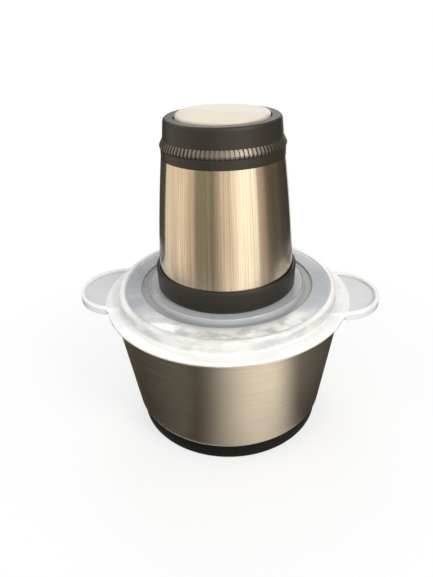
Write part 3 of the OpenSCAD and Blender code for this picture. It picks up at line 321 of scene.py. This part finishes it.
def frosted(name):
    """The lid's polypropylene, milky and a little see-through."""
    g = Graph(name)
    cloud = g.noise(g.place, scale=26.0, detail=2.0)
    flow = g.noise(g.stretch((38.0, 38.0, 120.0)), detail=2.0)
    wander = g.span(cloud, 0.3, 0.7, -AZIMUTH_WANDER, AZIMUTH_WANDER)
    off_front = g.math("ABSOLUTE", g.math("ADD", g.azimuth(), wander))
    # ahead: share of the painted front highlight
    ahead = front_highlight_share(g, off_front)
    outer = g.span(g.radius(), *DECK_EDGE)
    # this base colour carries the painted highlight and painted shade of lid_deck and lid_edge
    g.set(base_color=g.blend(outer, lid_deck(g, cloud, off_front, ahead), lid_edge(g, cloud, ahead)))
    g.set(alpha=g.span(outer, 0.0, 1.0, 0.90, 0.97), roughness=g.span(flow, 0.3, 0.7, 0.22, 0.32))
    g.set(ior=1.45, coat_weight=0.35, coat_roughness=0.08)
    g.bump(flow, 0.15, 0.0004)
    return g.material


def laminated(name):
    """Stamped sheets, half a millimetre thick, with scale on them."""
    g = Graph(name)
    sheets = g.math("SINE", g.math("MULTIPLY", g.height(), 2 * math.pi / SHEET_PITCH))
    scale_spots = g.noise(g.place, scale=160.0, detail=4.0)
    base = g.blend(g.span(scale_spots, 0.35, 0.7), (0.16, 0.155, 0.15), (0.34, 0.33, 0.32))
    lined = g.blend(g.span(sheets, -0.4, 0.9, 0.45, 0.0), base, (0.05, 0.05, 0.05))
    g.set(base_color=lined, metallic=0.8, roughness=g.span(scale_spots, 0.3, 0.7, 0.42, 0.6))
    g.bump(sheets, 0.25, 0.0001)
    return g.material


def enamelled_copper(name):
    """Fine wire, wound: lines along the coil over copper that varies."""
    g = Graph(name)
    turns = g.math("SINE", g.math("MULTIPLY", g.height(), 2 * math.pi / WIRE_PITCH))
    tone = g.noise(g.place, scale=120.0, detail=3.0)
    base = g.mottle(tone, (0.50, 0.20, 0.08), (0.72, 0.36, 0.17))
    lined = g.blend(g.span(turns, -0.6, 0.8, 0.55, 0.0), base, (0.16, 0.05, 0.02))
    g.set(base_color=lined, metallic=0.85, coat_weight=0.3, coat_roughness=0.2)
    g.set(roughness=g.span(tone, 0.3, 0.7, 0.28, 0.42))
    g.bump(turns, 0.4, 0.00015)
    return g.material


def cast_metal(name):
    """Die-cast alloy: sandy skin with flow marks."""
    g = Graph(name)
    sand = g.noise(g.place, scale=1500.0, detail=3.0, rough=0.7)
    flow = g.noise(g.place, scale=45.0, detail=4.0)
    base = g.mottle(flow, (0.40, 0.40, 0.42), (0.58, 0.58, 0.60))
    g.set(base_color=base, metallic=0.9, roughness=g.span(sand, 0.3, 0.7, 0.42, 0.58))
    g.bump(sand, 0.3, 0.00012)
    return g.material


# Material slot: what makes its finish, and with which values
FINISHES = {
    "bowl_steel": (brushed_metal, dict(
        colour=(0.60, 0.53, 0.42), fine=4200.0, broad=700.0, roughness=0.34, anisotropy=0.62,
        contrast=0.08)),
    "sleeve_steel": (brushed_metal, dict(
        colour=(0.72, 0.62, 0.49), fine=2400.0, broad=760.0, roughness=0.18, anisotropy=0.8,
        upright=True, contrast=0.26)),
    "blade_steel": (brushed_metal, dict(
        colour=(0.68, 0.68, 0.68), fine=3000.0, broad=800.0, roughness=0.24, anisotropy=0.5)),
    "bright_steel": (turned_metal, dict(colour=(0.66, 0.65, 0.62))),
    "sun_steel": (turned_metal, dict(colour=(0.56, 0.49, 0.34), roughness=0.32)),
    "zinc_screws": (turned_metal, dict(colour=(0.62, 0.62, 0.60), roughness=0.34)),
    "brush_brass": (turned_metal, dict(colour=(0.66, 0.46, 0.18), roughness=0.32)),
    "cast_alloy": (cast_metal, {}),
    "laminations": (laminated, {}),
    "copper": (enamelled_copper, {}),
    "frosted_lid": (frosted, {}),
    "foot_rubber": (moulded, dict(
        colour=(0.005, 0.005, 0.004), roughness=0.62, grain=0.3, gloss=0.08)),
    "grip_rubber": (moulded, dict(
        colour=(0.165, 0.146, 0.120), roughness=0.42, gloss=1.0, metal=0.9)),
    "silicone": (moulded, dict(
        colour=(0.72, 0.72, 0.69), roughness=0.55, grain=0.1, mottle=0.03, wear=1.05)),
    "black_plastic": (moulded, dict(colour=(0.025, 0.022, 0.0165), roughness=0.40, gloss=0.3)),
    "grey_plastic": (moulded, dict(colour=(0.10, 0.105, 0.115), roughness=0.5)),
    "switch_plastic": (moulded, dict(colour=(0.008, 0.012, 0.035), roughness=0.45)),
    "ivory_plastic": (moulded, dict(
        colour=(0.76, 0.71, 0.60), roughness=0.42, mottle=0.03, wear=1.05)),
    "button_ivory": (moulded, dict(
        colour=(0.76, 0.68, 0.56), roughness=0.20, grain=0.03, mottle=0.02, wear=1.03)),
    "plunger_white": (moulded, dict(
        colour=(0.74, 0.74, 0.71), roughness=0.45, mottle=0.03, wear=1.04)),
    "gear_nylon": (moulded, dict(
        colour=(0.74, 0.71, 0.60), roughness=0.45, mottle=0.03, wear=1.04)),
    "carbon": (moulded, dict(colour=(0.010, 0.010, 0.010), roughness=0.7, grain=0.4)),
}


def dress_nodes():
    """Gives each CAD node the finish of its material slot."""
    made = {}
    for part in frame["record"]["subparts"]:
        slot = part["material_slot"]
        if slot not in made:
            make, values = FINISHES[slot]
            made[slot] = make(slot, **values)
        piece = frame["nodes"][part["node"]]
        piece.data.materials.clear()
        piece.data.materials.append(made[slot])


def make_springs():
    """The plungers' springs, which on the real switch shorten as the button tilts; these copies stay
    rigid on the motor head. Each stands for its CAD solid.
    """
    for node in ("spring_low", "spring_high"):
        coil = bpy.data.objects.new(node + "_coil", frame["nodes"][node].data.copy())
        bpy.context.scene.collection.objects.link(coil)
        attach(coil, "motor_head")
        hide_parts(node)
        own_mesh(coil)


def surface(name, points, faces):
    """A piece of the stage made of flat faces."""
    mesh = bpy.data.meshes.new(name)
    mesh.from_pydata(points, [], faces)
    piece = bpy.data.objects.new(name, mesh)
    bpy.context.scene.collection.objects.link(piece)
    return piece


def seen_directly(tree):
    """1 for rays from the camera, a mirror or a see-through wall, 0 for soft light."""
    rays = tree.nodes.new("ShaderNodeLightPath")
    most = rays.outputs["Is Camera Ray"]
    for kind in ("Is Glossy Ray", "Is Transmission Ray"):
        either = tree.nodes.new("ShaderNodeMath")
        either.operation = "MAXIMUM"
        tree.links.new(most, either.inputs[0])
        tree.links.new(rays.outputs[kind], either.inputs[1])
        most = either.outputs[0]
    return most


def make_floor():
    """White floor that keeps the shadow near the object and turns plain white further out."""
    half = FLOOR_HALF
    corners = [(x, y, FLOOR_Z) for x, y in ((-half, -half), (half, -half), (half, half), (-half, half))]
    floor = surface("floor", corners, [(0, 1, 2, 3)])
    g = Graph("floor_white")
    tone = g.noise(g.place, scale=3.0, detail=2.0)
    g.set(base_color=g.blend(tone, (0.93, 0.93, 0.93), (0.95, 0.95, 0.95)), roughness=0.9)
    plain = g.add("ShaderNodeEmission")
    further = g.span(g.radius(), *SHADOW_KEPT, 0.66, 1.0)
    share = g.math("MULTIPLY", seen_directly(g.tree), further)
    mix = g.add("ShaderNodeMixShader")
    g.feed(mix.inputs[0], share)
    g.feed(mix.inputs[1], g.shader.outputs["BSDF"])
    g.feed(mix.inputs[2], plain.outputs["Emission"])
    g.feed(g.output.inputs["Surface"], mix.outputs[0])
    floor.data.materials.append(g.material)


def painted_foot_shadow(g):
    """Strength of a floor card's glow: weaker towards the foot, most so at the sides. This is a painted
    shadow, which the steel mirrors.
    """
    side = g.band(g.math("ABSOLUTE", g.azimuth()), *SIDES)
    least = g.math("SUBTRACT", FOOT_SHADOW_STRENGTH, g.math("MULTIPLY", side, SIDE_LOSS))
    rest = g.math("MULTIPLY", g.span(g.radius(), *FOOT_SHADOW_RADII), g.math("SUBTRACT", 1.0, least))
    return g.math("ADD", least, rest)


def mirror_card(name, points, start, end, first, last, on_floor):
    """A card of two rows of points that only mirrors see. Its glow goes from first to last."""
    steps = len(points) // 2 - 1
    faces = [(i, i + 1, i + steps + 2, i + steps + 1) for i in range(steps)]
    piece = surface(name, points, faces)
    g = Graph(name)
    glow = g.blend(g.span(g.azimuth(), start, end, kind="SMOOTHSTEP"), first, last)
    g.set(base_color=(0, 0, 0, 1), roughness=1.0, specular_ior_level=0.0)
    g.set(emission_color=glow, emission_strength=painted_foot_shadow(g) if on_floor else 1.0)
    piece.data.materials.append(g.material)
    for ray in ("camera", "diffuse", "transmission", "volume_scatter", "shadow"):
        setattr(piece, "visible_" + ray, False)


def arc(start, end, distance, z, steps):
    """Points at one height round the axis, between two azimuths."""
    angles = [math.radians(start + (end - start) * i / steps) for i in range(steps + 1)]
    return [(math.sin(a) * distance, -math.cos(a) * distance, z) for a in angles]


def upright_card(name, start, end, first, last, distance=0.42, low=0.001, high=0.5):
    """A bent card that stands round the object, between two azimuths."""
    points = [place for z in (low, high) for place in arc(start, end, distance, z, 8)]
    mirror_card(name, points, start, end, first, last, False)


def floor_card(name, start, end, first, last):
    """A flat card on the floor round the foot, between two azimuths. Its glow is given in greys."""
    points = [place for distance in CARD_FLOOR_RADII
              for place in arc(start, end, distance, CARD_FLOOR_Z, 12)]
    first, last = (tuple(CARD_FLOOR_TINT * grey) for grey in (first, last))
    mirror_card(name, points, start, end, first, last, True)


def make_cards():
    """Dark, tan and bright cards that the steel mirrors as upright bands."""
    peach = (1.00, 0.90, 0.76)
    brown = (0.62, 0.50, 0.42)
    olive = (0.28, 0.27, 0.19)
    tan = (0.86, 0.73, 0.61)
    bright = (1.50, 1.42, 1.26)
    cream = (0.84, 0.78, 0.68)
    black = (0.08, 0.075, 0.062)
    daylight = (4.0, 4.0, 3.9)
    lamplight = (3.4, 3.2, 2.9)
    upright_card("card_left_black", -165, -112, black, black)
    upright_card("card_left_peach", -108, -62, peach, (0.98, 0.86, 0.72))
    upright_card("card_left_brown", -62, -44, (0.90, 0.76, 0.62), brown)
    upright_card("card_olive", -44, -15, olive, olive)
    upright_card("card_front_brown", -15, 5, (0.28, 0.24, 0.19), tan)
    upright_card("card_tan", 5, 25, tan, (1.20, 1.10, 0.95))
    upright_card("card_bright", 25, 58, bright, (1.35, 1.28, 1.14))
    upright_card("card_right_brown", 60, 84, brown, (0.16, 0.14, 0.11))
    upright_card("card_right_black", 84, 150, (0.14, 0.12, 0.10), (0.05, 0.048, 0.04))
    upright_card("card_window", 165, 215, daylight, daylight, distance=1.5, low=1.2, high=2.0)
    upright_card("card_behind", 150, 210, cream, cream, distance=1.5, low=0.54, high=1.0)
    upright_card("card_high_front", -5, 58, lamplight, lamplight, distance=1.5, low=0.75, high=1.9)
    floor_card("card_floor_back_left", -162, -120, 0.30, 0.01)
    floor_card("card_floor_far_left", -120, -78, 0.01, 0.01)
    floor_card("card_floor_mid_left", -78, -30, 0.01, 0.13)
    floor_card("card_floor_left", -30, -20, 0.13, 0.07)
    floor_card("card_floor_front", -20, 26, 0.07, 1.22)
    floor_card("card_floor_bright", 26, 38, 1.22, 1.22)
    floor_card("card_floor_right", 38, 66, 1.22, 0.12)
    floor_card("card_floor_far_right", 66, 132, 0.12, 0.04)
    floor_card("card_floor_back_right", 132, 162, 0.04, 0.30)


def area_light(name, place, size, power, colour=(1, 1, 1), mirrored=True):
    data = bpy.data.lights.new(name, "AREA")
    data.shape = "DISK"
    data.size = size
    data.energy = power
    data.color = colour
    lamp = bpy.data.objects.new(name, data)
    lamp.location = place
    aim = Vector(LIT_POINT) - Vector(place)
    lamp.rotation_mode = "QUATERNION"
    lamp.rotation_quaternion = aim.to_track_quat("-Z", "Y")
    lamp.visible_glossy = mirrored
    bpy.context.scene.collection.objects.link(lamp)


def make_lights():
    warm = (1.0, 0.97, 0.93)
    cool = (0.95, 0.97, 1.0)
    area_light("key", (1.0, -0.85, 1.2), 0.7, 11.8, warm)
    area_light("front", (0.10, -1.30, 0.42), 0.8, 4.8, warm, mirrored=False)
    area_light("fill", (-1.1, -0.6, 0.9), 1.0, 4.0, cool)
    area_light("rim", (-0.3, 1.2, 1.3), 0.9, 7.0)


def make_world():
    """Soft even light, and plain white where a seen or mirrored ray passes the floor."""
    world = bpy.data.worlds.new("studio")
    bpy.context.scene.world = world
    world.use_nodes = True
    tree = world.node_tree
    tree.nodes.clear()
    mix = tree.nodes.new("ShaderNodeMixShader")
    tree.links.new(seen_directly(tree), mix.inputs[0])
    soft = ((0.98, 0.99, 1.0, 1), 0.50)
    white = ((1, 1, 1, 1), 1.0)
    for socket, (colour, strength) in zip((1, 2), (soft, white)):
        background = tree.nodes.new("ShaderNodeBackground")
        background.inputs["Color"].default_value = colour
        background.inputs["Strength"].default_value = strength
        tree.links.new(background.outputs[0], mix.inputs[socket])
    output = tree.nodes.new("ShaderNodeOutputWorld")
    tree.links.new(mix.outputs[0], output.inputs["Surface"])


def make_camera():
    yaw = math.radians(CAMERA_YAW)
    pitch = math.radians(CAMERA_PITCH)
    roll = math.radians(CAMERA_ROLL)
    level_ahead = Vector((math.sin(yaw), math.cos(yaw), 0))
    level_right = Vector((math.cos(yaw), -math.sin(yaw), 0))
    ahead = level_ahead * math.cos(pitch) - Vector((0, 0, math.sin(pitch)))
    level_up = level_right.cross(ahead)
    right = math.cos(roll) * level_right + math.sin(roll) * level_up
    up = -math.sin(roll) * level_right + math.cos(roll) * level_up
    data = bpy.data.cameras.new("camera")
    data.sensor_width = SENSOR_MM
    data.lens = FOCAL_PIXELS / IMAGE_LONG * SENSOR_MM
    data.clip_start = 0.01
    camera = bpy.data.objects.new("camera", data)
    turn = Matrix((right, up, -ahead)).transposed()
    camera.matrix_world = Matrix.Translation(CAMERA_PLACE) @ turn.to_4x4()
    bpy.context.scene.collection.objects.link(camera)
    bpy.context.scene.camera = camera


make_camera()
make_world()
make_lights()
make_floor()
make_cards()
dress_nodes()
make_springs()

bpy.context.scene.view_settings.view_transform = "Standard"
